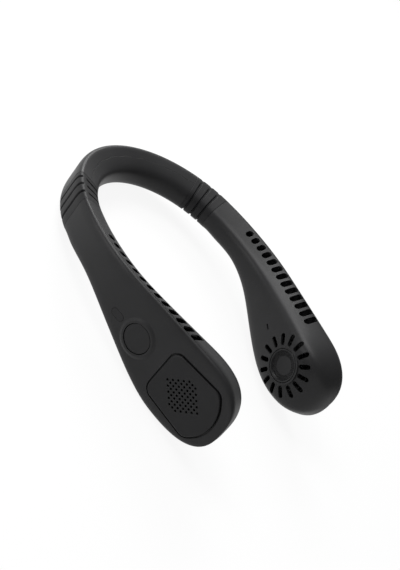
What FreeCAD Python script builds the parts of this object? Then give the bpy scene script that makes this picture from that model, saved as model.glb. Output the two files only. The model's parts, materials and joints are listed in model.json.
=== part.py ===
import FreeCAD
import Part
import math
import os

from FreeCAD import Matrix, Placement, Rotation, Vector

# A neck fan lies right way up on a table, tips towards -Y, the wearer's right arm at -X.
# One half is drawn on the +X side along a centreline that starts at the middle of the back;
# the other half is its mirror image.

# Centreline of one half, in plan
back_radius = 65.7
back_angle = 74.1
side_radius = 145.0
side_angle = 26.8
half_length = 241.5

# Cross-section: flat outside, crowned inside, with a level top edge
band_thick = 19.4
band_half_height = 12.6
bulb_thick = 25.5
bulb_half_height = 27.4
crest_rise = 1.2
thick_rise_share = 2.42
flare_start = 108.0
flare_end = 205.0
tip_start = 206.0
tip_blunt_share = 2.6
tip_least_share = 0.12
band_crown_shares = ((0.0, 0.5), (0.0, 1.18), (0.3, 0.99), (0.78, 0.695), (1.0, 0.42))
bulb_crown_shares = ((0.0, 0.8), (0.0, 1.07), (0.3, 1.0), (0.86, 0.86), (1.0, 0.6))
halving_count = 40
arm_section_count = 12
tip_section_count = 7

# Walls and fits
wall = 1.6
cover_rim = 1.0
seam = 0.15
fit_gap = 0.3
slip_gap = 0.1
overrun = 1.0

# Band and elbows
band_end = 59.0
arm_start = 83.0
band_section_count = 9
elbow_section_count = 5
groove_first = 63.3
groove_pitch = 6.6
groove_count = 3
groove_width = 1.6
groove_depth = 1.3
spine_width = 3.0
spine_from_face = 4.4
sleeve_wall = 3.0
core_radius = 4.4
core_plug = 6.0
end_wall = 2.4
harness_radius = 1.4

# Outlet slots along the top of each arm
outlet_count = 13
outlet_first = 112.2
outlet_pitch = 6.7
outlet_width = 4.4
outlet_first_reach = 11.4
outlet_last_reach = 14.2
outlet_first_edge = 5.4
outlet_last_edge = 2.2
outlet_slant_angle = 9.0

# Inlet on the inner face
fan_station = 210.0
fan_below = -0.2
inlet_count = 15
inlet_inner_radius = 13.2
inlet_outer_radius = 21.4
inlet_width = 3.2
inlet_depth = 11.0
hub_radius = 11.1
hub_thick = 2.2
hub_sunk = 0.3
hub_pad_rim = 1.4
hub_pad_thick = 3.6
hub_dish_radius = 9.7
hub_dish_depth = 1.3

# Perforated panel on the outer face
panel_station = 210.7
panel_below = 1.1
panel_proud = 1.0
panel_edge = 0.8
panel_back = 20.0
panel_back_half = 17.0
panel_shoulder = 15.0
panel_shoulder_half = 19.5
panel_tip = 24.0
panel_corner = 6.0
panel_thick = 1.4
panel_gap = 1.1
panel_ledge = 2.0
ledge_thick = 1.2
hole_radius = 0.75
hole_pitch = 2.6
hole_row_counts = (3, 5, 7, 9, 11, 9, 7, 5, 3)

# Button and lamp window on the right arm
button_station = 168.2
button_below = 3.4
button_radius = 9.2
button_proud = 0.6
button_travel = 0.6
button_flange = 1.0
button_flange_thick = 1.0
button_edge = 0.5
bezel_width = 3.2
bezel_lip = 1.3
bezel_height = 0.8
bezel_edge = 0.6
lamp_station = 149.8
lamp_below = 6.6
lamp_length = 9.4
lamp_width = 5.2

# Control board, switch and charging port
board_station = 162.7
board_below = 3.05
board_length = 40.0
board_width = 12.0
board_thick = 1.2
board_low = 7.8
post_radius = 1.7
post_inset = 2.4
switch_size = 6.0
switch_height = 3.0
plunger_radius = 1.6
plunger_sunk = 0.6
stem_radius = 2.4
stem_length = 1.0
lamp_chip = 3.0
lamp_chip_height = 1.2
port_station = 196.5
port_across = 9.5
port_sunk = 0.5
port_width = 9.0
port_height = 3.3
port_depth = 7.0
port_wall = 0.4
port_tongue = 0.7
port_tongue_width = 6.6
port_tongue_depth = 5.0
port_board_thick = 1.0
port_board_length = 13.0
port_board_low = 3.0
port_board_high = 7.0

# Small slanted slot on the left inner shell
mark_station = 180.0
mark_below = -1.9
mark_length = 4.2
mark_width = 1.2
mark_slant_angle = -20.0

# Blower stack, measured inwards from the outer face
impeller_radius = 16.4
blade_root_radius = 12.2
blade_count = 21
blade_thick = 0.9
blade_sweep_angle = 26.0
blade_bow_share = 0.32
blade_low = 7.0
blade_high = 16.8
rim_width = 1.4
rim_thick = 0.8
mid_plate_low = 11.2
mid_plate_thick = 0.9
impeller_hub_wall = 1.2
volute_gap = 1.0
volute_wall = 1.0
volute_high = 16.2
volute_mouth_low = 7.2
volute_mouth_edge = 3.0
base_low = 4.4
base_thick = 1.2
vent_count = 8
vent_radius = 2.2
vent_place = 13.4
duct_length = 66.0
duct_up = 9.8
duct_high = 14.0
duct_wall = 1.0
ear_radius = 2.6
ear_back = 24.0
ear_back_half = 14.0
ear_tip = 23.4
rotor_radius = 10.2
rotor_wall = 0.8
rotor_low = 7.4
rotor_high = 16.0
magnet_thick = 1.4
magnet_low = 8.4
magnet_high = 13.4
air_gap = 0.5
stator_low = 8.4
stator_height = 4.0
stator_hub = 1.5
stator_pole_count = 6
stator_pole_width = 2.2
stator_shoe = 0.9
stator_shoe_width = 5.6
coil_thick = 1.0
coil_inner_radius = 4.9
coil_outer_radius = 6.3
tube_radius = 3.0
tube_wall = 0.8
tube_high = 14.6
boss_wall = 1.3
bearing_length = 3.0
shaft_radius = 1.0
shaft_clearance = 0.03
shaft_low = 6.0
motor_board_thick = 1.0
motor_board_radius = 9.0

# Battery, leads and screws
battery_station = 166.0
battery_length = 30.0
battery_thick = 6.5
battery_corner = 2.0
lead_radius = 1.2
lead_shares = ((0.0, 0.0), (0.28, 0.08), (0.62, 0.6), (0.85, 0.95), (1.0, 1.0))
screw_radius = 1.0
screw_head_radius = 1.9
screw_head = 1.1
screw_length = 2.0

back_length = back_radius * math.radians(back_angle)
side_length = side_radius * math.radians(side_angle)
face = -band_thick / 2
parting = wall + cover_rim
base_high = base_low + base_thick
board_high = board_low + board_thick
volute_radius = impeller_radius + volute_gap
magnet_radius = rotor_radius - rotor_wall
stator_radius = magnet_radius - magnet_thick - air_gap
stator_high = stator_low + stator_height
stator_bore = tube_radius + slip_gap
tube_bore = tube_radius - tube_wall


def smooth(share):
    share = min(1.0, max(0.0, share))
    return share * share * (3 - 2 * share)


def tip_close(station):
    """Share of the section that is left where the tip rounds off."""
    share = max(0.0, (station - tip_start) / (half_length - tip_start))
    return (1 - share**tip_blunt_share) ** (1 / tip_blunt_share)


def flare(station):
    return smooth((station - flare_start) / (flare_end - flare_start))


def level_half_height(station):
    return band_half_height + (bulb_half_height - band_half_height) * flare(station)


def middle_drop(station):
    """Drop of the middle of the section, whose top edge rises a little over the bulb."""
    return level_half_height(station) - crest_rise * flare(station)


def thickness(station):
    share = (station - arm_start) / (tip_start - arm_start)
    share = min(1.0, max(0.0, share))
    return band_thick + (bulb_thick - band_thick) * share**thick_rise_share


def heading_at(station):
    """Turn of the centreline away from +X, in radians."""
    if abs(station) <= back_length:
        return station / back_radius
    return math.radians(back_angle) + min(station - back_length, side_length) / side_radius


def centreline(station):
    turn = heading_at(station)
    if abs(station) <= back_length:
        return Vector(math.sin(turn), math.cos(turn) - 1, 0) * back_radius
    bend = math.radians(back_angle)
    centre = Vector(math.sin(bend), math.cos(bend), 0) * (back_radius - side_radius)
    point = Vector(0, -back_radius, 0) + centre + Vector(math.sin(turn), math.cos(turn), 0) * side_radius
    straight = max(0.0, station - back_length - side_length)
    return point + Vector(math.cos(turn), -math.sin(turn), 0) * straight


def frame(station, drop=band_half_height, depth=-face):
    """Axes X along the arm, Y up, Z inwards, at a drop below the top edge and a depth from the outer face."""
    turn = heading_at(station)
    along = Vector(math.cos(turn), -math.sin(turn), 0)
    inward = Vector(-math.sin(turn), -math.cos(turn), 0)
    origin = centreline(station) + inward * (face + depth)
    up = band_half_height - drop
    return Placement(
        Matrix(along.x, 0, inward.x, origin.x, along.y, 0, inward.y, origin.y, 0, 1, 0, up, 0, 0, 0, 1)
    )


def seat(shape, place):
    seated = shape.copy()
    seated.Placement = place.multiply(seated.Placement)
    return seated


def on_arm(station, below=0.0, depth=0.0):
    """The same axes at a distance below the middle of the section."""
    return frame(station, middle_drop(station) + below, depth)


def crown(station, inset=0.0):
    """Spline round the inside of the section, with Y up and Z as the depth from the outer face."""
    width = thickness(station) * tip_close(station) - 2 * inset
    height = level_half_height(station) * tip_close(station) - inset
    upper = []
    for slim, full in zip(band_crown_shares, bulb_crown_shares):
        across, up = [low + (high - low) * flare(station) for low, high in zip(slim, full)]
        upper.append(Vector(0, up * height, inset + across * width))
    lower = [Vector(0, -point.y, point.z) for point in reversed(upper)]
    curve = Part.BSplineCurve()
    curve.buildFromPoles(upper + lower)
    return curve


def apex(station):
    """Depth of the crown's innermost point."""
    curve = crown(station)
    return curve.value((curve.FirstParameter + curve.LastParameter) / 2).z


def crown_height(station, depth, inset=0.0):
    """Half height of the section at a depth, found by halving the upper half of the crown."""
    curve = crown(station, inset)
    low = curve.FirstParameter
    high = (low + curve.LastParameter) / 2
    for _ in range(halving_count):
        middle = (low + high) / 2
        if curve.value(middle).z < depth:
            low = middle
        else:
            high = middle
    return curve.value(low).y


def section(station, inset=0.0):
    """Closed outline: a straight outer edge and one smooth crown round the inside."""
    curve = crown(station, inset)
    wire = Part.Wire([curve.toShape(), Part.makeLine(curve.EndPoint, curve.StartPoint)])
    return seat(wire, on_arm(station))


def spread(first, last, count):
    return [first + (last - first) * i / (count - 1) for i in range(count)]


def tip_stations():
    """Stations that crowd towards the tip as its rounding does."""
    last = math.acos(tip_least_share ** (tip_blunt_share / 2))
    turns = spread(0.0, last, tip_section_count + 1)[1:]
    return [tip_start + (half_length - tip_start) * math.sin(turn) ** (2 / tip_blunt_share) for turn in turns]


def body(stations, inset=0.0):
    return Part.makeLoft([section(station, inset) for station in stations], True, False)


def slab(stations, low, high):
    """A tall solid that follows the outer face between two depths."""
    tall = 2 * bulb_half_height
    wires = []
    for station in stations:
        place = frame(station, band_half_height, 0)
        corners = [(low, -tall), (high, -tall), (high, tall), (low, tall), (low, -tall)]
        wires.append(Part.makePolygon([place.multVec(Vector(0, up, depth)) for depth, up in corners]))
    return Part.makeLoft(wires, True, True)


def cylinder(radius, low, high, x=0.0, y=0.0):
    return Part.makeCylinder(radius, high - low, Vector(x, y, low))


def ring(inner, outer, low, high):
    return cylinder(outer, low, high).cut(cylinder(inner, low - overrun, high + overrun))


def block(length, width, low, high, x=0.0, y=0.0):
    return Part.makeBox(length, width, high - low, Vector(x - length / 2, y - width / 2, low))


def stadium(length, width, low, high):
    """A slot-shaped prism along X with round ends."""
    half = (length - width) / 2
    radius = width / 2
    ends = [cylinder(radius, low, high, -half), cylinder(radius, low, high, half)]
    return block(2 * half, width, low, high).fuse(ends).removeSplitter()


def turned(shape, axis, angle):
    copy = shape.copy()
    copy.rotate(Vector(0, 0, 0), axis, angle)
    return copy


def around(shape, count):
    return [turned(shape, Vector(0, 0, 1), i * 360 / count) for i in range(count)]


def edges_along(shape, axis):
    """Straight edges along one axis."""
    straight = math.cos(math.radians(1))
    return [edge for edge in shape.Edges if abs(edge.tangentAt(edge.FirstParameter).dot(axis)) > straight]


def largest(shape):
    return max(shape.removeSplitter().Solids, key=lambda solid: solid.Volume)


def disc_along(place, radius):
    axis = place.Rotation.multVec(Vector(1, 0, 0))
    return Part.Wire([Part.makeCircle(radius, place.Base, axis)])


def core_bore(station):
    """A hole for the flexible core through an end wall."""
    reach = core_plug + overrun
    hole = Part.makeCylinder(core_radius + fit_gap, 2 * reach, Vector(-reach, 0, 0), Vector(1, 0, 0))
    return seat(hole, frame(station))


def band_parts():
    stations = spread(-band_end, band_end, band_section_count)
    inner = [-band_end + end_wall] + stations[1:-1] + [band_end - end_wall]
    shell = body(stations).cut([body(inner, wall), core_bore(-band_end), core_bore(band_end)])
    past = [-band_end - overrun] + stations[1:-1] + [band_end + overrun]
    middle = band_thick / 2
    start = frame(-band_end + core_plug)
    sweep = math.degrees(2 * (band_end - core_plug) / back_radius)
    lead = Part.Face(disc_along(start, harness_radius))
    return {
        "band_outer_cover": shell.common(slab(past, -overrun, middle - seam / 2)),
        "band_inner_cover": shell.common(slab(past, middle + seam / 2, 2 * band_thick)),
        "band_harness": lead.revolve(Vector(0, -back_radius, 0), Vector(0, 0, -1), sweep),
    }


def elbow_parts():
    stations = spread(band_end, arm_start, elbow_section_count)
    sleeve = body(stations).cut(body(stations, sleeve_wall))
    spine = block(2 * groove_width, band_half_height, -spine_width / 2, spine_width / 2, 0, band_half_height)
    for i in range(groove_count):
        middle = groove_first + i * groove_pitch
        span = [middle - groove_width / 2, middle + groove_width / 2]
        groove = body(span, -overrun).cut(body(span, groove_depth))
        sleeve = sleeve.cut(groove.cut(seat(spine, frame(middle, band_half_height, spine_from_face))))
    core_span = spread(band_end - core_plug, arm_start + core_plug, 2 * elbow_section_count)
    core = Part.makeLoft([disc_along(frame(station), core_radius) for station in core_span], True, True)
    return {"elbow_sleeve": largest(sleeve), "elbow_core": core}


def panel_prism(grow, low, high):
    """The panel's outline, grown all round: straight back, sides that spread and a round front."""
    back = Vector(-panel_back - grow, panel_back_half + grow, low)
    shoulder = Vector(panel_shoulder, panel_shoulder_half + grow, low)
    tip = Vector(panel_tip + grow, 0, low)
    back_under = Vector(back.x, -back.y, low)
    shoulder_under = Vector(shoulder.x, -shoulder.y, low)
    front = Part.Arc(shoulder, tip, shoulder_under).toShape()
    sides = [Part.makeLine(back_under, back), Part.makeLine(back, shoulder)]
    wire = Part.Wire(sides + [front, Part.makeLine(shoulder_under, back_under)])
    prism = Part.Face(wire).extrude(Vector(0, 0, high - low))
    return prism.makeFillet(panel_corner + grow, edges_along(prism, Vector(0, 0, 1)))


def outer_panel():
    holes = []
    for i, count in enumerate(hole_row_counts):
        for j in range(count):
            x = (j - (count - 1) / 2) * hole_pitch
            y = (i - (len(hole_row_counts) - 1) / 2) * hole_pitch
            holes.append(cylinder(hole_radius, -panel_proud - overrun, panel_thick + overrun, x, y))
    plate = panel_prism(0, -panel_proud, panel_thick)
    plate = plate.makeFillet(panel_edge, [edge for edge in plate.Edges if edge.BoundBox.ZMax < 0])
    return seat(plate.cut(holes), on_arm(panel_station, panel_below))


def ears():
    """Screw places of the blower, in the panel's frame."""
    return [(-ear_back, ear_back_half), (-ear_back, -ear_back_half), (ear_tip, 0.0)]


def outlet_cutters():
    """Slots through the top wall that lengthen towards the bulb, where they end at the cover's rim."""
    cutters = []
    for i in range(outlet_count):
        share = i / (outlet_count - 1)
        edge = outlet_first_edge + (outlet_last_edge - outlet_first_edge) * share
        reach = outlet_first_reach + (outlet_last_reach - outlet_first_reach) * share
        slot = stadium(reach - edge, outlet_width, -overrun, band_half_height)
        slanted = turned(slot, Vector(0, 0, 1), 90 + outlet_slant_angle * share)
        place = frame(outlet_first + i * outlet_pitch, band_half_height / 2, (edge + reach) / 2)
        cutters.append(seat(turned(slanted, Vector(1, 0, 0), -90), place))
    return cutters


def inlet_cutters(top):
    slot = stadium(inlet_outer_radius - inlet_inner_radius, inlet_width, top - inlet_depth, top + overrun)
    slot.translate(Vector((inlet_outer_radius + inlet_inner_radius) / 2, 0, 0))
    place = on_arm(fan_station, fan_below)
    return [seat(cutter, place) for cutter in around(slot, inlet_count)]


def board_posts(high):
    """Four posts that hold the control board, or the battery where there is no board."""
    posts = []
    for i in (-1, 1):
        for j in (-1, 1):
            x = i * (board_length / 2 - post_inset)
            y = j * (board_width / 2 - post_inset)
            posts.append(cylinder(post_radius, panel_thick, high, x, y))
    return [seat(post, on_arm(board_station, board_below)) for post in posts]


def arm_shells(right):
    """Outer cover and inner shell of an arm."""
    middle = spread(arm_start, tip_start, arm_section_count)
    tip = tip_stations()
    inner = [arm_start + end_wall] + middle[1:] + tip[:-2]
    shell = body(middle + tip).cut([body(inner, wall), core_bore(arm_start)])
    past = [arm_start - overrun] + middle[1:] + [half_length + overrun]
    cover = largest(shell.common(slab(past, -overrun, parting)))
    tub = largest(shell.cut(slab(past, -overrun, parting + seam)))

    top = apex(fan_station)
    fan = on_arm(fan_station, fan_below)
    seat_radius = hub_radius + fit_gap
    tub = tub.fuse(seat(cylinder(seat_radius + hub_pad_rim, top - hub_pad_thick, top - hub_sunk), fan))
    recess = cylinder(seat_radius, top - hub_sunk - hub_thick, top + overrun)
    tub_cuts = [seat(recess, fan)] + inlet_cutters(top) + outlet_cutters()

    panel = on_arm(panel_station, panel_below)
    ledge = panel_prism(panel_ledge, panel_thick, panel_thick + ledge_thick)
    adds = [seat(ledge, panel)] + board_posts(board_low if right else board_high)
    cuts = [seat(panel_prism(panel_gap, -overrun, panel_thick), panel)]
    cuts += [seat(panel_prism(-panel_ledge, -overrun, panel_thick + ledge_thick + overrun), panel)]
    for x, y in ears():
        adds.append(seat(cylinder(post_radius, panel_thick, base_low, x, y), panel))
        bore = cylinder(screw_radius + slip_gap, base_low - screw_length, base_low + overrun, x, y)
        cuts.append(seat(bore, panel))
    if right:
        button = on_arm(button_station, button_below)
        hole = button_radius + fit_gap
        lip = hole + bezel_lip
        bezel = Part.makeCone(hole + bezel_width, lip, bezel_height, Vector(0, 0, 0), Vector(0, 0, -1))
        bezel = bezel.makeFillet(bezel_edge, [edge for edge in bezel.Edges if edge.BoundBox.ZMax < 0])
        adds += [seat(bezel, button), seat(cylinder(lip, 0, wall), button)]
        cuts.append(seat(cylinder(hole, -bezel_height - overrun, wall + overrun), button))
        window = stadium(lamp_length + 2 * slip_gap, lamp_width + 2 * slip_gap, -overrun, wall + overrun)
        cuts.append(seat(window, on_arm(lamp_station, lamp_below)))
        port = stadium(port_width + 2 * slip_gap, port_height + 2 * slip_gap, -port_depth, port_depth)
        tub_cuts.append(seat(turned(port, Vector(1, 0, 0), 90), port_place()))
    else:
        mark = turned(stadium(mark_length, mark_width, 0, bulb_thick), Vector(0, 0, 1), mark_slant_angle)
        tub_cuts.append(seat(mark, on_arm(mark_station, mark_below, bulb_thick / 2)))
    return {"outer_cover": largest(cover.fuse(adds).cut(cuts)), "inner_shell": largest(tub.cut(tub_cuts))}


def hub_cap():
    """A round cap with a shallow dish in it."""
    high = apex(fan_station) - hub_sunk
    ball = (hub_dish_radius**2 + hub_dish_depth**2) / (2 * hub_dish_depth)
    dish = Part.makeSphere(ball, Vector(0, 0, high - hub_dish_depth + ball))
    return cylinder(hub_radius, high - hub_thick, high).cut(dish)


def blade():
    """One backward-curved blade."""
    middle = (blade_root_radius + impeller_radius) / 2
    lean = math.degrees(blade_thick / middle)
    places = ((blade_root_radius, 0), (middle, blade_bow_share), (impeller_radius, 1))
    points = []
    for radius, share in places:
        angle = math.radians(blade_sweep_angle * share)
        points.append(Vector(radius * math.cos(angle), radius * math.sin(angle), blade_low))
    front = Part.Arc(points[0], points[1], points[2]).toShape()
    back = turned(front, Vector(0, 0, 1), lean)
    ends = [Part.makeLine(front.Vertexes[i].Point, back.Vertexes[i].Point) for i in (0, 1)]
    wire = Part.Wire(Part.__sortEdges__([front, back] + ends))
    return Part.Face(wire).extrude(Vector(0, 0, blade_high - blade_low))


def impeller():
    hub_outer = rotor_radius + impeller_hub_wall
    hub = ring(rotor_radius, hub_outer, rotor_low, rotor_high)
    plate = ring(hub_outer - slip_gap, impeller_radius, mid_plate_low, mid_plate_low + mid_plate_thick)
    rim_inner = impeller_radius - rim_width
    rims = [ring(rim_inner, impeller_radius, blade_high, blade_high + rim_thick)]
    rims += [ring(rim_inner, impeller_radius, blade_low - rim_thick, blade_low)]
    return hub.fuse([plate] + rims + around(blade(), blade_count)).removeSplitter()


def volute():
    """Blower frame: floor, curved wall with its mouth, duct wall and bearing boss."""
    panel_to_fan = on_arm(fan_station, fan_below).inverse().multiply(on_arm(panel_station, panel_below))
    places = [panel_to_fan.multVec(Vector(x, y, 0)) for x, y in ears()]
    outer = volute_radius + volute_wall
    solids = []
    for place in places:
        reach = math.hypot(place.x, place.y)
        arm = block(reach, 2 * ear_radius, base_low, base_high, reach / 2)
        arm = arm.fuse(cylinder(ear_radius, base_low, base_high, reach))
        solids.append(turned(arm, Vector(0, 0, 1), math.degrees(math.atan2(place.y, place.x))))
    mouth_x = -volute_mouth_edge - outer
    mouth_y = volute_mouth_low + outer
    mouth = block(2 * outer, 2 * outer, base_high, volute_high + overrun, mouth_x, mouth_y)
    solids.append(ring(volute_radius, outer, base_high, volute_high).cut(mouth))
    near_end = math.sqrt(volute_radius**2 - duct_up**2)
    duct_middle = -(duct_length + near_end) / 2
    solids.append(block(duct_length - near_end, duct_wall, base_high, duct_high, duct_middle, duct_up))
    solids.append(block(duct_length - near_end, 4 * duct_wall, base_low, base_high, duct_middle, duct_up))
    solids.append(cylinder(stator_bore + boss_wall, base_high, stator_low))
    holes = around(cylinder(vent_radius, base_low - overrun, base_high + overrun, vent_place), vent_count)
    holes += [cylinder(screw_radius + slip_gap, 0, base_high + overrun, place.x, place.y) for place in places]
    holes += [cylinder(stator_bore, base_high, stator_low + overrun)]
    return cylinder(outer, base_low, base_high).fuse(solids).cut(holes).removeSplitter()


def stator_core():
    core = ring(stator_bore, stator_bore + stator_hub, stator_low, stator_high)
    inner = stator_bore + stator_hub / 2
    middle = (stator_radius + inner) / 2
    pole = block(stator_radius - inner, stator_pole_width, stator_low, stator_high, middle)
    shoe_middle = stator_radius - stator_shoe / 2
    shoe = block(stator_shoe, stator_shoe_width, stator_low, stator_high, shoe_middle)
    arms = around(pole.fuse(shoe), stator_pole_count)
    return core.fuse(arms).common(cylinder(stator_radius, stator_low, stator_high)).removeSplitter()


def windings():
    middle = (coil_inner_radius + coil_outer_radius) / 2
    long = coil_outer_radius - coil_inner_radius
    wide = stator_pole_width + 2 * coil_thick
    coil = block(long, wide, stator_low - coil_thick, stator_high + coil_thick, middle)
    slot = block(long + 2 * overrun, stator_pole_width, stator_low, stator_high, middle)
    return Part.makeCompound(around(coil.cut(slot), stator_pole_count))


def blower_parts():
    bearing_bore = shaft_radius + shaft_clearance
    lower = ring(bearing_bore, tube_bore, base_high, base_high + bearing_length)
    upper = ring(bearing_bore, tube_bore, tube_high - bearing_length, tube_high)
    cup = ring(magnet_radius, rotor_radius, rotor_low, rotor_high)
    lid = ring(shaft_radius, rotor_radius - rotor_wall / 2, rotor_high - rotor_wall, rotor_high)
    board_hole = stator_bore + boss_wall + slip_gap
    return {
        "hub_cap": hub_cap(),
        "volute": volute(),
        "motor_board": ring(board_hole, motor_board_radius, base_high, base_high + motor_board_thick),
        "bearing_tube": ring(tube_bore, tube_radius, base_high, tube_high),
        "bearings": Part.makeCompound([lower, upper]),
        "stator_core": stator_core(),
        "windings": windings(),
        "rotor_cup": cup.fuse(lid).removeSplitter(),
        "rotor_magnet": ring(magnet_radius - magnet_thick, magnet_radius, magnet_low, magnet_high),
        "shaft": cylinder(shaft_radius, shaft_low, rotor_high),
        "impeller": impeller(),
    }


def volute_screws():
    screws = []
    for x, y in ears():
        shank = cylinder(screw_radius, base_low - screw_length + slip_gap, base_high, x, y)
        screws.append(shank.fuse(cylinder(screw_head_radius, base_high, base_high + screw_head, x, y)))
    return seat(Part.makeCompound(screws), on_arm(panel_station, panel_below))


def battery_drops():
    """Drops of the battery's two long sides, which the duct wall and the underside leave it."""
    narrow = battery_station - battery_length / 2
    underside = middle_drop(narrow) + crown_height(narrow, board_high + battery_thick, wall)
    duct = middle_drop(fan_station) + fan_below - duct_up
    return duct + duct_wall / 2 + fit_gap, underside - fit_gap


def battery():
    """A cell behind the control board and square to it."""
    upper, lower = battery_drops()
    cell = block(battery_length, lower - upper, board_high, board_high + battery_thick)
    cell = cell.makeFillet(battery_corner, edges_along(cell, Vector(1, 0, 0)))
    cell.translate(Vector(battery_station - board_station, 0, 0))
    return seat(cell, frame(board_station, (upper + lower) / 2, 0))


def leads():
    """Wires from the elbow's core to the end of the battery."""
    upper, lower = battery_drops()
    start = (arm_start + core_plug + fit_gap, band_half_height, band_thick / 2)
    battery_end = battery_station - battery_length / 2 - slip_gap
    end = (battery_end, (upper + lower) / 2, board_high + battery_thick / 2)
    discs = []
    for along, aside in lead_shares:
        spot = [a + (b - a) * share for a, b, share in zip(start, end, (along, aside, aside))]
        discs.append(disc_along(frame(*spot), lead_radius))
    return Part.makeLoft(discs, True, True)


def port_place():
    """Where the charging port opens in the underside."""
    below = crown_height(port_station, port_across) - port_sunk
    return on_arm(port_station, below, port_across)


def control_parts():
    """Button, switch, board, lamp window and charging port of the right arm."""
    button_place = on_arm(button_station, button_below)
    lamp_place = on_arm(lamp_station, lamp_below)
    board_place = on_arm(board_station, board_below)

    flange_low = wall + slip_gap
    flange_high = flange_low + button_flange_thick
    stem_end = flange_high + stem_length
    cap = cylinder(button_radius, -button_proud, flange_high)
    cap = cap.makeFillet(button_edge, [edge for edge in cap.Edges if edge.BoundBox.ZMax < 0])
    flange = cylinder(button_radius + button_flange, flange_low, flange_high)
    button = cap.fuse([flange, cylinder(stem_radius, flange_high, stem_end)]).removeSplitter()

    switch_low = board_low - switch_height
    plunger_end = switch_low + plunger_sunk
    well = cylinder(plunger_radius + fit_gap, switch_low - overrun, plunger_end + button_travel + slip_gap)
    switch = block(switch_size, switch_size, switch_low, board_low).cut(well)
    under_button = board_place.inverse().multVec(button_place.Base)
    switch.translate(Vector(under_button.x, under_button.y, 0))
    board = block(board_length, board_width, board_low, board_high)
    chip = block(lamp_chip, lamp_chip, board_low - lamp_chip_height, board_low)
    chip.translate(board_place.inverse().multVec(lamp_place.Base))

    bore = stadium(port_width - 2 * port_wall, port_height - 2 * port_wall, -overrun, port_depth - port_wall)
    tongue = block(port_tongue_width, port_tongue, port_depth - port_tongue_depth, port_depth)
    port = stadium(port_width, port_height, 0, port_depth).cut(bore).fuse(tongue).removeSplitter()
    port_side = (port_height + port_board_thick) / 2
    port_board = block(port_board_length, port_board_thick, port_board_low, port_board_high, 0, port_side)
    along = Vector(1, 0, 0)
    return {
        "power_button": seat(button, button_place),
        "switch_plunger": seat(cylinder(plunger_radius, stem_end, plunger_end), button_place),
        "lamp_window": seat(stadium(lamp_length, lamp_width, 0, parting), lamp_place),
        "main_board": seat(board.fuse(chip), board_place),
        "tact_switch": seat(switch, board_place),
        "usb_port": seat(turned(port, along, -90), port_place()),
        "port_board": seat(turned(port_board, along, -90), port_place()),
    }


def arm_parts(right):
    parts = arm_shells(right)
    parts["outer_panel"] = outer_panel()
    for name, shape in blower_parts().items():
        parts[name] = seat(shape, on_arm(fan_station, fan_below))
    parts["volute_screws"] = volute_screws()
    parts["battery"] = battery()
    parts["leads"] = leads()
    return parts


def rest_pitch():
    """Angle that brings the bulbs' undersides and the band's underside to one level."""
    heel = frame(0, 2 * band_half_height, 0).Base
    angles = []
    for station in spread(flare_start, tip_start, arm_section_count * tip_section_count):
        toe = on_arm(station, level_half_height(station)).Base
        angles.append(math.atan2(heel.z - toe.z, heel.y - toe.y))
    return math.degrees(max(angles))


def mirrored(shape):
    return shape.mirror(Vector(0, 0, 0), Vector(1, 0, 0))


parts = band_parts()
for name, shape in elbow_parts().items():
    parts["left_" + name] = shape
    parts["right_" + name] = mirrored(shape)
for name, shape in arm_parts(False).items():
    parts["left_" + name] = shape
for name, shape in arm_parts(True).items():
    parts["right_" + name] = mirrored(shape)
for name, shape in control_parts().items():
    parts[name] = mirrored(shape)

tilt = Placement(Vector(0, 0, 0), Rotation(Vector(1, 0, 0), -rest_pitch()))
parts = {name: seat(shape, tilt) for name, shape in parts.items()}
skins = [parts[name] for name in parts if name.endswith(("cover", "shell"))]
box = Part.makeCompound(skins).optimalBoundingBox()
shift = Placement(Vector(-box.Center.x, -box.Center.y, -box.ZMin), Rotation())

os.makedirs("parts", exist_ok=True)
for name, shape in parts.items():
    seat(shape, shift).exportStep("parts/" + name + ".step")

places = {
    "elbow": frame((band_end + arm_start) / 2),
    "fan": on_arm(fan_station, fan_below, base_low),
    "button": on_arm(button_station, button_below),
    "port": port_place(),
}
for name, place in places.items():
    settled = shift.multiply(tilt).multiply(place)
    axes = [settled.Rotation.multVec(axis) for axis in (Vector(1, 0, 0), Vector(0, 1, 0), Vector(0, 0, 1))]
    print(name, [round(v, 4) for v in settled.Base], [[round(v, 5) for v in axis] for axis in axes])
print("pitch", round(rest_pitch(), 4), "shift", [round(v, 4) for v in shift.Base])
print("size", [round(v, 2) for v in (box.XLength, box.YLength, box.ZLength)])
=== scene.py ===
import json
import math

import bmesh
import bpy
import numpy as np
from mathutils import Matrix, Vector


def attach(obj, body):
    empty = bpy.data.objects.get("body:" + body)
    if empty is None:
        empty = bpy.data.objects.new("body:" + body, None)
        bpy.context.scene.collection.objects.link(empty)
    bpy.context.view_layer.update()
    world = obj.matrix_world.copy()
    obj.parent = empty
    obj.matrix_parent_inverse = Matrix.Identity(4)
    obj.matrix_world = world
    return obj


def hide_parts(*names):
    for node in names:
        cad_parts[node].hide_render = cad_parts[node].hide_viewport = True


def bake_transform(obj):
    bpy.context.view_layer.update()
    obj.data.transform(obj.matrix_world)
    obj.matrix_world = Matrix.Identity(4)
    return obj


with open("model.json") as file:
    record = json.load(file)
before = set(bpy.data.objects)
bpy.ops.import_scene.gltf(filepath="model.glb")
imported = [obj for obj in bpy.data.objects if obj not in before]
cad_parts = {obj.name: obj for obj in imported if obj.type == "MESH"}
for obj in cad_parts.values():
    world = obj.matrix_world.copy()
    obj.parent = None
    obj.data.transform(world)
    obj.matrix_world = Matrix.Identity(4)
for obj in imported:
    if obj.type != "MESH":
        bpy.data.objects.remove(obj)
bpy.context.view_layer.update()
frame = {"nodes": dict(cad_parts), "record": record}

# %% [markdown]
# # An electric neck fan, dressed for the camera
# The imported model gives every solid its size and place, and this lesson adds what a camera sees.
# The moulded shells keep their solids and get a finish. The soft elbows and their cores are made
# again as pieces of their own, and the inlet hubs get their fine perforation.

MM = 0.001
nodes = frame["nodes"]

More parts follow.
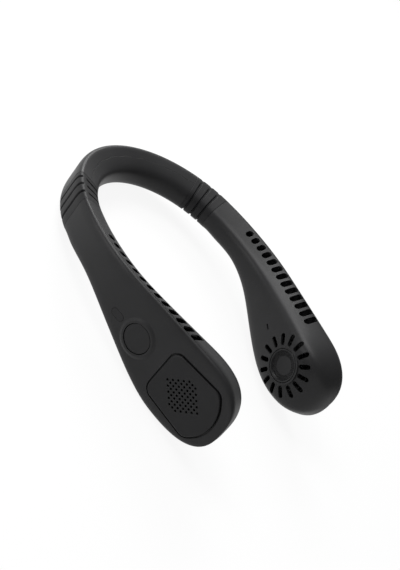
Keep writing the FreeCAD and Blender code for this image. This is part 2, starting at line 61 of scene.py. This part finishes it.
# %% [markdown]
# ## Tools for materials
# Colours are written as sRGB hex values, the way a colour picker shows them. A shader wants linear
# light, so one function turns them. Another adds one shader node with its settings and links, and
# every material below is built from it.

# %% Material tools
def linear(code):
    """An sRGB hex colour as linear red, green, blue and alpha."""
    parts = [int(code[i:i + 2], 16) / 255 for i in (0, 2, 4)]
    return [c / 12.92 if c <= 0.04045 else ((c + 0.055) / 1.055) ** 2.4 for c in parts] + [1.0]


def add(tree, kind, inputs=None, **settings):
    """One shader node; inputs take values or the sockets of other nodes."""
    node = tree.nodes.new(kind)
    for key, value in settings.items():
        setattr(node, key, value)
    for key, value in (inputs or {}).items():
        if isinstance(value, bpy.types.NodeSocket):
            tree.links.new(value, node.inputs[key])
        else:
            node.inputs[key].default_value = value
    return node


def blank(name, sockets):
    """A new material, its tree and its shader, with fixed values set on the shader's own sockets."""
    material = bpy.data.materials.new(name)
    material.use_nodes = True
    tree = material.node_tree
    shader = tree.nodes["Principled BSDF"]
    for key, value in sockets.items():
        shader.inputs[key].default_value = value
    return material, tree, shader


def paint(obj, *materials):
    """Gives an object these materials and no others."""
    obj.data.materials.clear()
    for material in materials:
        obj.data.materials.append(material)


print("sRGB 808080 is", round(linear("808080")[0], 3), "in linear light")

# %% [markdown]
# ## Moulded plastic
# Most of the fan is injection moulded. The mould is spark eroded, so the part leaves it with a fine
# even grain that spreads highlights, and the melt cools unevenly, so gloss and colour drift a little
# over a finger's width. A noise of the grain's size gives the bump, a large soft noise gives the
# drift, and a rounded normal stands for the small radius that no moulded edge is without.

# %% Moulded plastic
EDGE_MM = 0.3
DRIFT_MM = 25.0
DRIFT_LOW = 0.3
DRIFT_HIGH = 0.7
GLOSS_DRIFT = 0.03
GRAIN_STRENGTH = 0.5


def moulded(name, dark, light, rough, grain_mm, depth_mm, specular=0.5):
    """A moulded finish between two colours, with a grain of some width and depth."""
    material, tree, shader = blank(name, {"Specular IOR Level": specular})
    place = add(tree, "ShaderNodeTexCoord").outputs["Object"]
    drift = {"Vector": place, "Scale": 1 / (DRIFT_MM * MM), "Detail": 3.0}
    drift = add(tree, "ShaderNodeTexNoise", drift).outputs["Fac"]
    ramp = add(tree, "ShaderNodeValToRGB", {"Fac": drift})
    for stop, position, code in zip(ramp.color_ramp.elements, (DRIFT_LOW, DRIFT_HIGH), (dark, light)):
        stop.position = position
        stop.color = linear(code)
    gloss = {"Value": drift, "From Min": DRIFT_LOW, "From Max": DRIFT_HIGH,
             "To Min": rough - GLOSS_DRIFT, "To Max": rough + GLOSS_DRIFT}
    gloss = add(tree, "ShaderNodeMapRange", gloss)
    grain = {"Vector": place, "Scale": 1 / (grain_mm * MM), "Detail": 2.0}
    grain = add(tree, "ShaderNodeTexNoise", grain).outputs["Fac"]
    edge = add(tree, "ShaderNodeBevel", {"Radius": EDGE_MM * MM}, samples=4).outputs["Normal"]
    bump = {"Height": grain, "Normal": edge, "Strength": GRAIN_STRENGTH, "Distance": depth_mm * MM}
    bump = add(tree, "ShaderNodeBump", bump)
    tree.links.new(ramp.outputs["Color"], shader.inputs["Base Color"])
    tree.links.new(gloss.outputs["Result"], shader.inputs["Roughness"])
    tree.links.new(bump.outputs["Normal"], shader.inputs["Normal"])
    return material


print("moulded edges are rounded by", EDGE_MM, "mm")

# %% [markdown]
# ## The plastics that show
# The shells, panel, button and hubs are black ABS from moulds of different smoothness, the elbows are
# rubber and the lamp window is smoked. One recipe serves them all, with a shade, a gloss and a grain
# for each. A real grain of this kind is 0.1 to 0.2 mm wide, too fine even for a close view, so it is
# drawn about twice as coarse.

# %% Plastics that show
# ABS with a fine matte grain: black, and grey only where light rakes along it.
shell_abs = moulded("moulded_abs_matte_black", "1b1b1c", "202021",
                    rough=0.43, grain_mm=0.35, depth_mm=0.02, specular=0.22)
# The same ABS from smoother moulds, a little darker and tighter in its highlights.
panel_abs = moulded("moulded_abs_panel_black", "19191a", "1d1d1e",
                    rough=0.42, grain_mm=0.3, depth_mm=0.015, specular=0.18)
button_abs = moulded("moulded_abs_button_black", "1b1b1c", "1f1f20",
                     rough=0.4, grain_mm=0.3, depth_mm=0.012, specular=0.2)
hub_abs = moulded("moulded_abs_hub_black", "1a1a1b", "1e1e1f",
                  rough=0.4, grain_mm=0.3, depth_mm=0.012, specular=0.2)
# The floor of a perforation is the same ABS, painted near black as painted shade, because no light reaches
# it.
painted_shade_hole_abs = moulded("moulded_abs_painted_hole_shade", "040404", "070707",
                   rough=0.8, grain_mm=0.3, depth_mm=0.01, specular=0.1)
# Thermoplastic rubber scatters highlights widely and looks a shade darker than the shells.
elbow_tpe = moulded("moulded_tpe_elbow_black", "181819", "1d1d1e",
                    rough=0.5, grain_mm=0.45, depth_mm=0.03, specular=0.18)
# Smoked polycarbonate is as black as the cover round it until the lamp behind it is lit.
lamp_lens = moulded("moulded_polycarbonate_smoked", "1b1b1c", "1f1f20",
                    rough=0.42, grain_mm=0.6, depth_mm=0.004, specular=0.2)
print(len(bpy.data.materials), "materials so far")

# %% [markdown]
# ## The plastics inside
# Pieces inside come from plainer moulds and are never polished. They show through the slots or when
# the fan is taken apart, and the same recipe gives most of them a coarser grain.

# %% Plastics inside
# Plain ABS and PBT are dull, and their colours are set darker than the shells' as painted shade,
# because little light gets in.
duct_abs_painted_shade = moulded("moulded_abs_duct_black_painted_shade", "141415", "19191a",
                   rough=0.6, grain_mm=0.5, depth_mm=0.02, specular=0.3)
impeller_pbt_painted_shade = moulded("moulded_pbt_impeller_grey_painted_shade", "161617", "1b1b1c",
                       rough=0.5, grain_mm=0.6, depth_mm=0.02, specular=0.3)
# Acetal is slippery and keeps a faint waxy shine.
switch_pom = moulded("moulded_pom_switch_black", "1b1b1c", "232324", rough=0.5, grain_mm=0.4, depth_mm=0.01)
# A nylon gooseneck is milky in itself and is dyed dark grey.
core_nylon = moulded("moulded_nylon_core_grey", "3a3a3c", "444446", rough=0.55, grain_mm=0.5, depth_mm=0.02)
# Bonded ferrite is pressed powder: dull, grainy and almost black.
magnet = moulded("pressed_bonded_ferrite", "2a2a2c", "333336", rough=0.6, grain_mm=0.3, depth_mm=0.02)
# Extruded wire cover is waxy and smooth.
wire_pvc = moulded("extruded_pvc_wire_red", "7a1414", "8a1a1a", rough=0.4, grain_mm=0.8, depth_mm=0.02)
print(len(bpy.data.materials), "materials so far")

# %% [markdown]
# ## The lens's outline, in painted shade
# The smoked lens is pressed into a hole in the cover. A hair's gap round it swallows light, so only a
# thin dark oval tells it from the cover, and that oval is painted shade. A normal that is rounded over
# the rim differs from the flat face's normal there, and that difference paints the rim darker.

# %% Lens outline
RIM_MM = 0.8
RIM_AGREES = 0.85
FACE_AGREES = 0.99
tree = lamp_lens.node_tree
shader = tree.nodes["Principled BSDF"]
colour = shader.inputs["Base Color"].links[0].from_socket
turned = add(tree, "ShaderNodeBevel", {"Radius": RIM_MM * MM}, samples=8).outputs["Normal"]
facing = add(tree, "ShaderNodeNewGeometry").outputs["Normal"]
agrees = add(tree, "ShaderNodeVectorMath", {0: turned, 1: facing}, operation="DOT_PRODUCT")
inside = {"Value": agrees.outputs["Value"], "From Min": RIM_AGREES, "From Max": FACE_AGREES}
inside = add(tree, "ShaderNodeMapRange", inside).outputs["Result"]
# The colour is scaled towards black at the rim, a painted shade for the gap round the lens.
shaded = add(tree, "ShaderNodeVectorMath", {0: colour, "Scale": inside}, operation="SCALE")
tree.links.new(shaded.outputs["Vector"], shader.inputs["Base Color"])
print("lens rim", RIM_MM, "mm")

# %% [markdown]
# ## Metals
# The motor holds drawn, turned, ground and pressed metal. Each process leaves lines of its own width,
# so a noise that is stretched along one axis drives colour, roughness and a shallow bump together.

# %% Metals
LINE_STRETCH = 8.0
LINE_STRENGTH = 0.4
SMOOTHER = 0.06
ROUGHER = 0.08


def worked_metal(name, dark, light, rough, line_mm, depth_mm):
    """A metal between two colours, with tool lines of some width and depth."""
    material, tree, shader = blank(name, {"Metallic": 1.0})
    place = add(tree, "ShaderNodeTexCoord").outputs["Object"]
    drawn = add(tree, "ShaderNodeMapping", {"Vector": place, "Scale": (1.0, 1.0, LINE_STRETCH)})
    lines = {"Vector": drawn.outputs["Vector"], "Scale": 1 / (line_mm * MM), "Detail": 4.0}
    lines = add(tree, "ShaderNodeTexNoise", lines).outputs["Fac"]
    ramp = add(tree, "ShaderNodeValToRGB", {"Fac": lines})
    for stop, code in zip(ramp.color_ramp.elements, (dark, light)):
        stop.color = linear(code)
    gloss = {"Value": lines, "To Min": rough - SMOOTHER, "To Max": rough + ROUGHER}
    gloss = add(tree, "ShaderNodeMapRange", gloss)
    bump = {"Height": lines, "Strength": LINE_STRENGTH, "Distance": depth_mm * MM}
    bump = add(tree, "ShaderNodeBump", bump)
    tree.links.new(ramp.outputs["Color"], shader.inputs["Base Color"])
    tree.links.new(gloss.outputs["Result"], shader.inputs["Roughness"])
    tree.links.new(bump.outputs["Normal"], shader.inputs["Normal"])
    return material


# Drawn stainless steel keeps fine lines from the die and a cool bright shine.
port_steel = worked_metal("drawn_stainless_steel", "8f9194", "b9bbbe", rough=0.3, line_mm=0.4, depth_mm=0.004)
# Zinc plating is a bluish grey that dulls quickly.
screw_steel = worked_metal("zinc_plated_steel", "7a7c80", "9a9ca0", rough=0.38, line_mm=0.3, depth_mm=0.005)
rotor_steel = worked_metal("pressed_zinc_plated_steel", "85878a", "a6a8ab",
                           rough=0.33, line_mm=0.6, depth_mm=0.006)
# Ground steel is the brightest piece in the motor.
shaft_steel = worked_metal("ground_steel", "9fa1a4", "c2c4c7", rough=0.22, line_mm=0.2, depth_mm=0.003)
# Stacked sheets show their edges as dark fine bands.
stator_steel = worked_metal("stacked_silicon_steel", "4c4d50", "6a6b6e",
                            rough=0.45, line_mm=0.35, depth_mm=0.02)
# Turned brass has a warm even shine, and sintered bronze is browner and porous.
brass = worked_metal("turned_brass", "9a7a3a", "b8964c", rough=0.3, line_mm=0.25, depth_mm=0.004)
bronze = worked_metal("sintered_bronze", "7a5a34", "94703f", rough=0.5, line_mm=0.2, depth_mm=0.01)
# Enamel makes copper wire redder and glossier than bare copper.
copper = worked_metal("enamelled_copper_wire", "8a4520", "b0622c", rough=0.3, line_mm=0.4, depth_mm=0.02)
# A pouch cell's foil is laminated with plastic, which leaves soft wrinkles.
foil = worked_metal("laminated_battery_foil", "8c8e92", "a4a6aa", rough=0.38, line_mm=2.5, depth_mm=0.06)
print(len(bpy.data.materials), "materials so far")

# %% [markdown]
# ## Circuit boards
# A board is glass cloth in epoxy under green solder mask. The weave prints through the mask as a fine
# square pattern, which two crossed bands of waves can draw. The cloth's threads are about 0.5 mm apart.
# At a scale of 1 Blender's wave bands lie 0.31 units apart, so the scale is worked out from that.

# %% Circuit boards
THREAD_MM = 0.5
WEAVE_DEPTH_MM = 0.01
BANDS_APART = 0.31
board_fr4, tree, shader = blank("solder_masked_glass_epoxy", {"Roughness": 0.32, "Coat Weight": 0.3})
place = add(tree, "ShaderNodeTexCoord").outputs["Object"]
threads = {"Vector": place, "Scale": BANDS_APART / (THREAD_MM * MM)}
warp, weft = (add(tree, "ShaderNodeTexWave", threads, bands_direction=axis) for axis in ("Y", "Z"))
cloth = {0: warp.outputs["Fac"], 1: weft.outputs["Fac"]}
cloth = add(tree, "ShaderNodeMath", cloth, operation="MULTIPLY").outputs["Value"]
ramp = add(tree, "ShaderNodeValToRGB", {"Fac": cloth})
for stop, code in zip(ramp.color_ramp.elements, ("0d381f", "155434")):
    stop.color = linear(code)
tree.links.new(ramp.outputs["Color"], shader.inputs["Base Color"])
bump = add(tree, "ShaderNodeBump", {"Height": cloth, "Strength": 0.3, "Distance": WEAVE_DEPTH_MM * MM})
tree.links.new(bump.outputs["Normal"], shader.inputs["Normal"])
print("board weave", THREAD_MM, "mm")

# %% [markdown]
# ## Painting the solids
# The left and right halves share their finishes, so the list goes by the piece's plain name.

# %% Painting
FINISHES = {
    shell_abs: ("outer_cover", "inner_shell", "band_outer_cover", "band_inner_cover"),
    panel_abs: ("outer_panel",),
    hub_abs: ("hub_cap",),
    button_abs: ("power_button",),
    lamp_lens: ("lamp_window",),
    elbow_tpe: ("elbow_sleeve",),
    core_nylon: ("elbow_core",),
    duct_abs_painted_shade: ("volute",),
    impeller_pbt_painted_shade: ("impeller",),
    switch_pom: ("tact_switch", "switch_plunger"),
    board_fr4: ("motor_board", "main_board", "port_board"),
    port_steel: ("usb_port",),
    screw_steel: ("volute_screws",),
    rotor_steel: ("rotor_cup",),
    shaft_steel: ("shaft",),
    stator_steel: ("stator_core",),
    magnet: ("rotor_magnet",),
    copper: ("windings",),
    brass: ("bearing_tube",),
    bronze: ("bearings",),
    foil: ("battery",),
    wire_pvc: ("leads", "band_harness"),
}
finish_of = {piece: material for material, pieces in FINISHES.items() for piece in pieces}
for name, obj in nodes.items():
    paint(obj, finish_of[name.removeprefix("left_").removeprefix("right_")])
print(len(nodes), "solids painted with", len(FINISHES), "finishes")

# %% [markdown]
# ## Where the elbows lie
# The band is an arc in plan, drawn level and then tipped forward until the fan rests on its bulbs.
# A place on an elbow is given as the solids give it, in millimetres: how far along the arc, how far in
# from the outer face and how far up. The left half is drawn, and the right half is its mirror image.

# %% Places along the band
BACK_RADIUS = 65.7
BAND_THICK = 19.4
PITCH = math.radians(-9.3246)
SHIFT = Vector((0.0, 96.5076, 14.7383))
tip_forward = Matrix.Rotation(PITCH, 3, "X")


def settled(point):
    """A point of the level drawing, in millimetres, as it lies on the table, in metres."""
    return (tip_forward @ Vector(point) + SHIFT) * MM


def on_band(station, inward, up, side=1):
    """The point at an arc length, a depth from the outer face and a height from mid height."""
    turn = station / BACK_RADIUS
    radius = BACK_RADIUS + BAND_THICK / 2 - inward
    return settled((side * math.sin(turn) * radius, math.cos(turn) * radius - BACK_RADIUS, up))


print("middle of the back:", [round(v, 4) for v in on_band(0, BAND_THICK / 2, 0)])

# %% [markdown]
# ## A skin over rings
# The sleeves and cores of the elbows are tubes with a wall. Each is a row of rings of points, out along
# the outside and back along the bore. One function joins each ring to the next and the last to the
# first, which closes the wall with no caps.

# %% Skin
def skin(name, rings):
    """A smooth closed mesh object over rings that all have as many points."""
    count = len(rings[0])
    points = [tuple(point) for ring in rings for point in ring]
    faces = []
    for i in range(len(rings)):
        low, high = i * count, (i + 1) % len(rings) * count
        for j in range(count):
            k = (j + 1) % count
            faces.append((low + j, low + k, high + k, high + j))
    mesh = bpy.data.meshes.new(name)
    mesh.from_pydata(points, [], faces)
    work = bmesh.new()
    work.from_mesh(mesh)
    bmesh.ops.recalc_face_normals(work, faces=work.faces)
    work.to_mesh(mesh)
    work.free()
    mesh.shade_smooth()
    obj = bpy.data.objects.new(name, mesh)
    bpy.context.collection.objects.link(obj)
    return obj


print("a skin has as many faces as its rings have points")

# %% [markdown]
# ## The elbow's section
# Cut across, an elbow is flat on its outer face and crowned on its inner one, like the shells beside
# it. The crown is a cubic spline. Its poles are shares of the band's thickness and half height, as in
# the solids, so the sleeve meets the shells without a step.

# %% Elbow section
BAND_HALF_HEIGHT = 12.6
CROWN_SHARES = ((0.0, 0.5), (0.0, 1.18), (0.3, 0.99), (0.78, 0.695), (1.0, 0.42))
CROWN_POINTS = 73
FACE_POINTS = 17


def spline(poles, count):
    """Points along a cubic spline that starts and ends on its first and last poles."""
    spans = len(poles) - 3
    knots = [0] * 3 + list(range(spans + 1)) + [spans] * 3
    points = []
    for t in np.linspace(0, spans, count):
        first = min(int(t), spans - 1)
        pulls = [np.array(poles[first + j], float) for j in range(4)]
        for level in range(1, 4):
            for j in range(3, level - 1, -1):
                low = knots[first + j]
                share = (t - low) / (knots[first + j + 4 - level] - low)
                pulls[j] = (1 - share) * pulls[j - 1] + share * pulls[j]
        points.append(pulls[3])
    return np.array(points)


def band_section(inset):
    """Points round the section as depth from the outer face and height, moved inwards by an inset."""
    width = BAND_THICK - 2 * inset
    height = BAND_HALF_HEIGHT - inset
    upper = [(inset + across * width, up * height) for across, up in CROWN_SHARES]
    crown = spline(upper + [(across, -up) for across, up in reversed(upper)], CROWN_POINTS)
    face = np.linspace(crown[-1], crown[0], FACE_POINTS + 1)[1:-1]
    return np.concatenate([crown, face])


outside = band_section(0)
inwards = band_section(1) - outside
print(len(outside), "points round the section")

# %% [markdown]
# ## Grooves
# Three grooves let each elbow bend, and they stop at a plain spine along its top. A groove moves the
# section's points inwards by a rounded dip, so its edges are soft as rubber is, which a cut with sharp
# edges could not give. The sleeve's ends are rounded in the same way.

# %% Grooves
BAND_END = 59.0
ARM_START = 83.0
GROOVES = (63.3, 69.9, 76.5)
GROOVE_HALF_WIDTH = 1.05
GROOVE_DEPTH = 1.3
# Over 1, the dip reaches its full depth before the middle, which gives the groove a flat floor.
GROOVE_FLATNESS = 1.3
END_ROUND = 0.35
SPINE_MIDDLE = 4.4
SPINE_HALF_WIDTH = 1.5
SPINE_FADE = 0.9


def smooth(share):
    """A share from 0 to 1, eased at both ends."""
    share = min(1.0, max(0.0, share))
    return share * share * (3 - 2 * share)


def groove_at(station):
    """How deep a groove is at an arc length, and how far a sleeve's end is rounded off there."""
    nearest = min(abs(station - middle) for middle in GROOVES)
    dip = GROOVE_DEPTH * smooth(GROOVE_FLATNESS * (1 - nearest / GROOVE_HALF_WIDTH))
    end = min(station - BAND_END, ARM_START - station)
    return dip, END_ROUND * max(0.0, 1 - end / END_ROUND) ** 2


def groove_share(across, up):
    """How much of a groove is left at a point of the section: nothing on the spine."""
    beside_spine = abs(across - SPINE_MIDDLE) - SPINE_HALF_WIDTH
    return smooth(beside_spine / SPINE_FADE) if up > 0 else 1.0


groove_shares = np.array([groove_share(*spot) for spot in outside])
print(len(GROOVES), "grooves,", GROOVE_DEPTH, "mm deep")

# %% [markdown]
# ## Elbow sleeves
# Each elbow is a rubber sleeve. Its wall has an inside too, and it bends between the band and the arm,
# so it is a piece of its own that blends from one to the other. The rings lie close enough for the
# grooves to be round, and the plain bore needs only every eighth of them.

# %% Elbow sleeves
SLEEVE_WALL = 3.0
SLEEVE_RINGS = 145
BORE_STEP = 8
ARMS = {"left": 1, "right": -1}
sleeve_stations = np.linspace(BAND_END, ARM_START, SLEEVE_RINGS)
bore = outside + inwards * SLEEVE_WALL
sleeves = {}
for side, sign in ARMS.items():
    rings = []
    for station in sleeve_stations:
        dip, end = groove_at(station)
        ring = outside + inwards * (dip * groove_shares + end)[:, None]
        rings.append([on_band(station, *spot, sign) for spot in ring])
    for station in sleeve_stations[::-BORE_STEP]:
        rings.append([on_band(station, *spot, sign) for spot in bore])
    sleeve = skin(side + "_ribbed_elbow_sleeve", rings)
    paint(sleeve, elbow_tpe)
    sleeves[side] = sleeve
    print(sleeve.name, len(sleeve.data.polygons), "faces")

# %% [markdown]
# ## Elbow cores
# Inside each sleeve a gooseneck of short nylon links keeps the bend that the wearer sets. Its links
# show as rings, so the tube's radius rises and falls along the arc. Wires pass through its bore.

# %% Elbow cores
CORE_RADIUS = 4.4
CORE_PLUG = 6.0
CORE_BORE = 2.2
CORE_SIDES = 40
CORE_RINGS = 145
LINK_LENGTH = 3.0
LINK_DIP = 0.5
# A high even power of a cosine is a narrow dip between two links.
LINK_POWER = 8


def round_ring(station, radius, sign):
    """A ring of points about the middle of the band, at an arc length."""
    turns = [2 * math.pi * i / CORE_SIDES for i in range(CORE_SIDES)]
    middle = BAND_THICK / 2
    return [on_band(station, middle + radius * math.cos(t), radius * math.sin(t), sign) for t in turns]


cores = {}
core_stations = np.linspace(BAND_END - CORE_PLUG, ARM_START + CORE_PLUG, CORE_RINGS)
for side, sign in ARMS.items():
    rings = []
    for station in core_stations:
        dip = LINK_DIP * math.cos(math.pi * (station - BAND_END) / LINK_LENGTH) ** LINK_POWER
        plugged = station < BAND_END or station > ARM_START
        rings.append(round_ring(station, CORE_RADIUS - (0 if plugged else dip), sign))
    for station in core_stations[::-BORE_STEP]:
        rings.append(round_ring(station, CORE_BORE, sign))
    core = skin(side + "_gooseneck_core", rings)
    paint(core, core_nylon)
    cores[side] = core
    print(core.name, len(core.data.polygons), "faces")

# %% [markdown]
# ## Elbows in place
# Each sleeve and core keeps the shape it was built with, and the solid it stands in for is hidden.

# %% Elbows in place
for side, sign in ARMS.items():
    end = on_band(ARM_START, BAND_THICK / 2, 0, sign)
    for piece, node in ((sleeves[side], "_elbow_sleeve"), (cores[side], "_elbow_core")):
        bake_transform(piece)
        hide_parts(side + node)

# %% [markdown]
# ## The hub's profile
# The hub in the middle of each inlet is a dished cap: a rounded lip, a sloping wall and a shallow
# middle. It is round, so one profile describes it, as radius and height from the top of its lip, in
# millimetres. The wall is a quarter of an ellipse, and the other points are listed.

# %% Hub profile
HUB_PROFILE = ((0.0, -2.2), (11.1, -2.2), (11.1, -0.45), (11.0, -0.16), (10.8, -0.03), (10.5, 0.0),
               (10.15, -0.06), (9.95, -0.2), (9.85, -0.4))
WALL_TOP = (9.75, -0.65)
WALL_FOOT = (6.3, -1.6)
WALL_ROWS = 5
DISH_FLOOR = ((5.0, -1.72), (3.4, -1.82), (1.7, -1.88), (0.0, -1.9))


def hub_rows():
    """Radius and height of each row of the profile, from the middle of the back to that of the dish."""
    rows = list(HUB_PROFILE)
    for i in range(WALL_ROWS + 1):
        turn = math.pi / 2 * i / WALL_ROWS
        radius = WALL_TOP[0] + (WALL_FOOT[0] - WALL_TOP[0]) * (1 - math.cos(turn))
        rows.append((radius, WALL_TOP[1] + (WALL_FOOT[1] - WALL_TOP[1]) * math.sin(turn)))
    return rows + list(DISH_FLOOR)


print(len(hub_rows()), "rows in the hub's profile")

# %% [markdown]
# ## Turning the hub
# A lathe gives a round piece from its profile, and so does a loop that turns each row about the hub's
# axis. The wall's cells are listed as they are made, every second one in each row and staggered from
# row to row, because they become the holes.

# %% Turned hub
HUB_SIDES = 76


def turned_hub(top, axis):
    """The hub turned about an axis through the top of its lip, as a bmesh, and the cells for its holes."""
    across = axis.cross(Vector((0, 0, 1))).normalized()
    upward = axis.cross(across)
    work = bmesh.new()
    grid = []
    for radius, height in hub_rows():
        row = []
        for i in range(HUB_SIDES if radius else 1):
            turn = 2 * math.pi * i / HUB_SIDES
            sideways = across * math.cos(turn) + upward * math.sin(turn)
            row.append(work.verts.new(top + (sideways * radius + axis * height) * MM))
        grid.append(row)
    holes = []
    first_wall = len(HUB_PROFILE)
    for r, (low, high) in enumerate(zip(grid, grid[1:])):
        for i in range(HUB_SIDES):
            k = (i + 1) % HUB_SIDES
            ends = [low[i % len(low)], low[k % len(low)], high[k % len(high)], high[i % len(high)]]
            face = work.faces.new(list(dict.fromkeys(ends)))
            face.smooth = True
            if first_wall < r < first_wall + WALL_ROWS and (r + i) % 2:
                holes.append(face)
    bmesh.ops.recalc_face_normals(work, faces=work.faces)
    return work, holes


print("hubs are turned in", HUB_SIDES, "steps")

# %% [markdown]
# ## Inlet hubs
# The hub's wall is perforated with fine staggered holes. The listed cells are pressed in, so the holes
# are real dents, where a pattern in the material would leave the wall smooth, and their floors carry
# a painted shade of near black. The real holes are about 0.4 mm wide, which a picture of this size
# can't show, so they are drawn wider.
# The hub's axis is the fan's, and the top of its lip is where the solid's is.

# %% Inlet hubs
HOLE_INSET = 0.05
HOLE_DEPTH = 0.35
SHARP_ANGLE = math.radians(50)
joint_of = {joint["name"]: joint for joint in frame["record"]["behaviour"]["joints"]}
for side in ARMS:
    spin = joint_of[side + "_fan_spin"]
    axis = Vector(spin["axis"]).normalized()
    middle = Vector(spin["pos_m"])
    corners = [vertex.co for vertex in nodes[side + "_hub_cap"].data.vertices]
    top = middle + axis * max((corner - middle).dot(axis) for corner in corners)
    work, holes = turned_hub(top, axis)
    bmesh.ops.inset_individual(work, faces=holes, thickness=HOLE_INSET * MM, depth=-HOLE_DEPTH * MM)
    # The holes' floors take the second material, near black as painted shade.
    for face in holes:
        face.material_index = 1
    print(side, "hub has", len(holes), "holes")
    mesh = bpy.data.meshes.new(side + "_perforated_hub")
    work.to_mesh(mesh)
    work.free()
    mesh.set_sharp_from_angle(angle=SHARP_ANGLE)
    hub = bpy.data.objects.new(side + "_perforated_hub", mesh)
    bpy.context.collection.objects.link(hub)
    paint(hub, hub_abs, painted_shade_hole_abs)
    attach(hub, side + "_arm")
    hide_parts(side + "_hub_cap")

# %% [markdown]
# ## Camera
# The camera stands where the photographer stood, found by matching outlines and features. Its place
# was found with the fan's top edge level, in millimetres, so it is tipped and shifted with the fan.

# %% Camera
AZIMUTH, ELEVATION, ROLL = (math.radians(a) for a in (-63.79, 29.64, 40.13))
FOCAL_PX = 1011.06
PICTURE_HEIGHT_PX = 570
SENSOR_MM = 36
DISTANCE = 646.46
SIDEWAYS = -1.096
RISE = 5.02
AIM = Vector((0, -100, 0))
NEAREST_SEEN = 0.01

level = math.cos(ELEVATION)
back = Vector((math.sin(AZIMUTH) * level, -math.cos(AZIMUTH) * level, math.sin(ELEVATION)))
right = Vector((0, 0, 1)).cross(back).normalized()
up = back.cross(right)
rolled_right = math.cos(ROLL) * right + math.sin(ROLL) * up
rolled_up = -math.sin(ROLL) * right + math.cos(ROLL) * up
spot = AIM - SIDEWAYS * rolled_right - RISE * rolled_up + DISTANCE * back
axes = Matrix([tip_forward @ v for v in (rolled_right, rolled_up, back)]).transposed()
camera = bpy.data.objects.new("camera", bpy.data.cameras.new("camera"))
camera.matrix_world = Matrix.Translation(settled(spot)) @ axes.to_4x4()
camera.data.sensor_width = SENSOR_MM
camera.data.lens = FOCAL_PX / PICTURE_HEIGHT_PX * SENSOR_MM
camera.data.clip_start = NEAREST_SEEN
bpy.context.collection.objects.link(camera)
bpy.context.scene.camera = camera
print("camera", [round(v, 3) for v in camera.location], "lens", round(camera.data.lens, 1), "mm")

# %% [markdown]
# ## Floor
# The fan lies on white paper that runs past the picture's edges and turns up far away, as a studio's
# cove does, so a low view has a white background too. One round sheet with an upright rim makes both.

# %% Floor
FLOOR_RADIUS = 6.0
COVE_HEIGHT = 1.2
COVE_SIDES = 96
turns = [2 * math.pi * i / COVE_SIDES for i in range(COVE_SIDES)]
edge = [(FLOOR_RADIUS * math.cos(turn), FLOOR_RADIUS * math.sin(turn)) for turn in turns]
points = [(x, y, height) for height in (0.0, COVE_HEIGHT) for x, y in edge]
sheet = [tuple(range(COVE_SIDES))]
for i in range(COVE_SIDES):
    k = (i + 1) % COVE_SIDES
    sheet.append((i, k, COVE_SIDES + k, COVE_SIDES + i))
floor_mesh = bpy.data.meshes.new("floor")
floor_mesh.from_pydata(points, [], sheet)
floor = bpy.data.objects.new("floor", floor_mesh)
bpy.context.collection.objects.link(floor)
print("floor", 2 * FLOOR_RADIUS, "m across")

# %% [markdown]
# ## White paper
# In the photograph only a faint soft shadow is left, as where a lit table shines through from below.
# So part of the paper's white is its own, for what the lens and the reflections see, and the rest
# takes light and shadow. The light that the paper throws back on the fan is that of plain paper.

# %% White paper
PAPER_OWN_LIGHT = 0.9
paper, tree, shader = blank("pressed_white_paper", {"Roughness": 0.9, "Specular IOR Level": 0.0})
shader.inputs["Base Color"].default_value = linear("fafafa")
ray = add(tree, "ShaderNodeLightPath").outputs
sight = ray["Is Camera Ray"]
for other in (ray["Is Glossy Ray"], ray["Is Transmission Ray"]):
    sight = add(tree, "ShaderNodeMath", {0: sight, 1: other}, operation="MAXIMUM").outputs["Value"]
own = add(tree, "ShaderNodeMath", {0: sight, 1: PAPER_OWN_LIGHT}, operation="MULTIPLY").outputs["Value"]
glow = add(tree, "ShaderNodeEmission", {"Color": linear("ffffff"), "Strength": 1.0}).outputs["Emission"]
mixed = add(tree, "ShaderNodeMixShader", {0: own, 1: shader.outputs["BSDF"], 2: glow})
tree.links.new(mixed.outputs["Shader"], tree.nodes["Material Output"].inputs["Surface"])
paint(floor, paper)
print("paper's own share of white:", PAPER_OWN_LIGHT)

# %% [markdown]
# ## Light
# Square lamps stand for a studio's soft boxes. Two are behind the band, the key towards the left arm
# and a higher one towards the right, so long highlights run along the band and the shoulders while the
# faces that look at the camera stay dark. A small low lamp on the right arm's side opens its outer
# face. The room adds an even grey.

# %% Light
FAN_MIDDLE = (0, -0.02, 0.02)
RIGHT_ARM_MIDDLE = (-0.05, -0.02, 0.02)
# Place, aim and side length in metres, and power in watts.
LAMPS = {
    "key": ((0.36, 0.7, 0.52), FAN_MIDDLE, 0.5, 6.5),
    "top": ((-0.22, 0.55, 0.78), FAN_MIDDLE, 0.45, 6),
    "fill": ((-0.65, 0.4, 0.17), RIGHT_ARM_MIDDLE, 0.3, 1.2),
}
ROOM_LIGHT = 0.38
for name, (place, aim, size, watts) in LAMPS.items():
    lamp = bpy.data.lights.new(name, "AREA")
    lamp.shape = "SQUARE"
    lamp.size = size
    lamp.energy = watts
    obj = bpy.data.objects.new(name, lamp)
    toward = Vector(aim) - Vector(place)
    obj.matrix_world = Matrix.Translation(place) @ toward.to_track_quat("-Z", "Y").to_matrix().to_4x4()
    bpy.context.collection.objects.link(obj)
world = bpy.data.worlds.new("studio_room")
bpy.context.scene.world = world
world.use_nodes = True
room = world.node_tree.nodes["Background"].inputs
room["Color"].default_value = linear("ffffff")
room["Strength"].default_value = ROOM_LIGHT
bpy.context.scene.view_settings.view_transform = "Standard"
print(len(LAMPS), "lamps")
